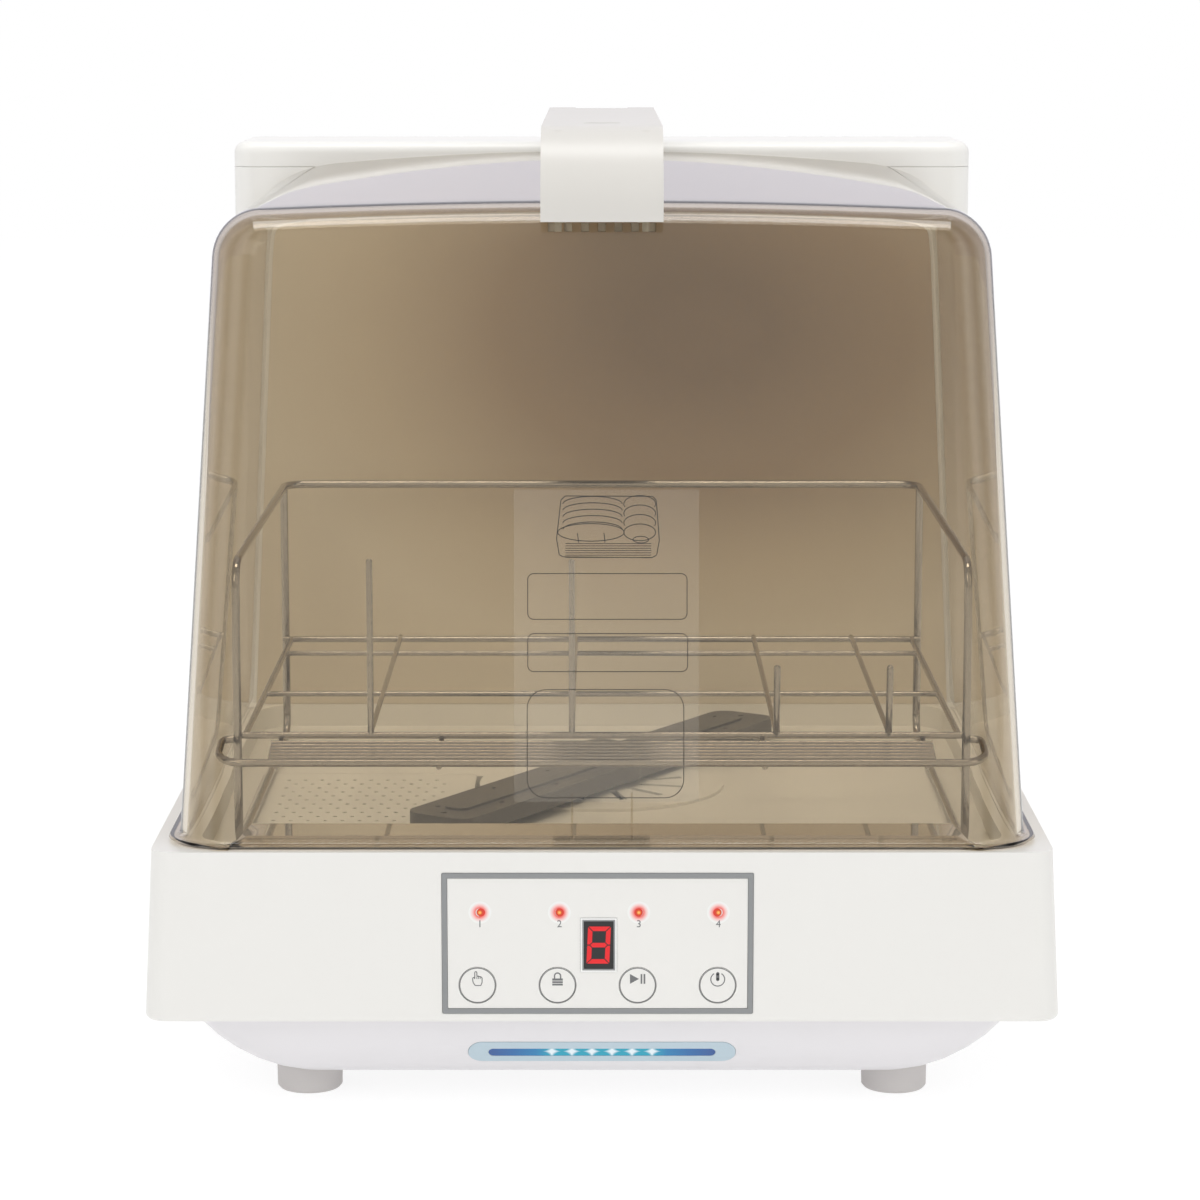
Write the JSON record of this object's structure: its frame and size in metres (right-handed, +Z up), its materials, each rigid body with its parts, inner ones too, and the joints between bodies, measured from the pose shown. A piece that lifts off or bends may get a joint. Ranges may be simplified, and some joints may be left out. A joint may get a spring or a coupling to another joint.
{
  "type": "countertop dishwasher",
  "caption": "Countertop dishwasher with a smoky lift-up cover over a wire dish rack, keypad front, rear water tank and a rotating spray arm.",
  "frame": {"origin": "on the surface that the feet stand on, under the middle of the whole object's box", "axes": "+Z up, -Y towards the front with the keypad, +X to the right seen from the front"},
  "size_m": [0.42, 0.4353, 0.4535],
  "materials": {
    "white_housing": "satin moulded ABS",
    "white_pan": "satin moulded ABS",
    "ivory_plastic": "satin moulded ABS",
    "grey_rubber": "matt moulded rubber",
    "steel": "brushed",
    "bright_wire": "drawn and plated wire",
    "smoky_wall": "satin tinted styrene",
    "smoky_cover": "polished transparent",
    "tub_plastic": "satin moulded polypropylene",
    "dark_plastic": "satin",
    "arm_plastic": "satin",
    "black_rubber": "matt moulded rubber",
    "board": "printed circuit board",
    "frame_grey": "satin",
    "blue_lens": "polished translucent",
    "blue_light": "lit",
    "red_light": "lit",
    "clear_film": "clear film",
    "motor_metal": "zinc plated"
  },
  "bodies": {
    "base": {"base_housing": "white_housing", "bottom_pan": "white_pan", "feet": "grey_rubber", "foot_screws": "steel", "pan_screws": "steel", "light_lens": "blue_lens", "light_strip": "blue_light", "light_board": "board", "control_panel": "white_housing", "panel_frame": "frame_grey", "digit_bezel": "frame_grey", "digit_module": "dark_plastic", "digit_segments": "red_light", "mode_lamps": "red_light", "control_board": "board", "key_switches": "dark_plastic", "board_screws": "steel", "wash_tub": "tub_plastic", "filter_screen": "dark_plastic", "hub_base": "tub_plastic", "arm_cap": "arm_plastic", "sump": "dark_plastic", "heater": "steel", "wash_pump": "motor_metal", "drain_pump": "motor_metal", "pump_sleeves": "black_rubber", "feed_hose": "black_rubber", "drain_hose": "black_rubber", "drain_spout": "ivory_plastic", "fill_valve": "motor_metal", "fill_hose": "black_rubber", "power_board": "board", "mains_inlet": "dark_plastic", "back_panel": "smoky_wall", "tank_body": "ivory_plastic", "float_stem": "ivory_plastic", "reed_switch": "dark_plastic", "hinge_bracket": "ivory_plastic", "bracket_screws": "steel", "deck_seal": "grey_rubber"},
    "cover": {"cover_shell": "smoky_cover", "handle_arm": "ivory_plastic", "handle_studs": "steel", "cover_magnet": "motor_metal", "label_film": "clear_film", "hinge_pin": "steel"},
    "spray_arm_body": {"spray_arm": "arm_plastic"},
    "key_select_body": {"key_select": "white_housing"},
    "key_lock_body": {"key_lock": "white_housing"},
    "key_start_body": {"key_start": "white_housing"},
    "key_power_body": {"key_power": "white_housing"},
    "tank_lid_body": {"tank_lid": "ivory_plastic"},
    "wash_impeller_body": {"wash_impeller": "dark_plastic"},
    "drain_impeller_body": {"drain_impeller": "dark_plastic"},
    "tank_float_body": {"tank_float": "ivory_plastic"},
    "rack": {"rack_frame": "bright_wire", "rack_floor": "bright_wire", "rack_shelf": "bright_wire", "rack_pins": "bright_wire"}
  },
  "joints": [
    {"name": "cover_hinge", "type": "hinge", "parent": "base", "child": "cover", "pos_m": [0, 0.131, 0.4415], "axis": [-1, 0, 0], "range_deg": [0, 70]},
    {"name": "rack_lift", "type": "slide", "parent": "base", "child": "rack", "axis": [0, 0, 1], "range_m": [0, 0.04]},
    {"name": "spray_arm_spin", "type": "hinge", "parent": "base", "child": "spray_arm_body", "pos_m": [0, -0.02, 0.14], "axis": [0, 0, 1], "continuous": true},
    {"name": "key_select_press", "type": "slide", "parent": "base", "child": "key_select_body", "axis": [0, 1, 0], "range_m": [0, 0.0006], "stiffness_N_per_m": 600},
    {"name": "key_lock_press", "type": "slide", "parent": "base", "child": "key_lock_body", "axis": [0, 1, 0], "range_m": [0, 0.0006], "stiffness_N_per_m": 600},
    {"name": "key_start_press", "type": "slide", "parent": "base", "child": "key_start_body", "axis": [0, 1, 0], "range_m": [0, 0.0006], "stiffness_N_per_m": 600},
    {"name": "key_power_press", "type": "slide", "parent": "base", "child": "key_power_body", "axis": [0, 1, 0], "range_m": [0, 0.0006], "stiffness_N_per_m": 600},
    {"name": "tank_lid_lift", "type": "slide", "parent": "base", "child": "tank_lid_body", "axis": [0, 0, 1], "range_m": [0, 0.06]},
    {"name": "wash_impeller_spin", "type": "hinge", "parent": "base", "child": "wash_impeller_body", "pos_m": [0.095, -0.02, 0.066], "axis": [1, 0, 0], "continuous": true},
    {"name": "drain_impeller_spin", "type": "hinge", "parent": "base", "child": "drain_impeller_body", "pos_m": [-0.095, -0.02, 0.066], "axis": [1, 0, 0], "continuous": true},
    {"name": "tank_float_rise", "type": "slide", "parent": "base", "child": "tank_float_body", "axis": [0, 0, 1], "range_m": [0, 0.06]}
  ]
}
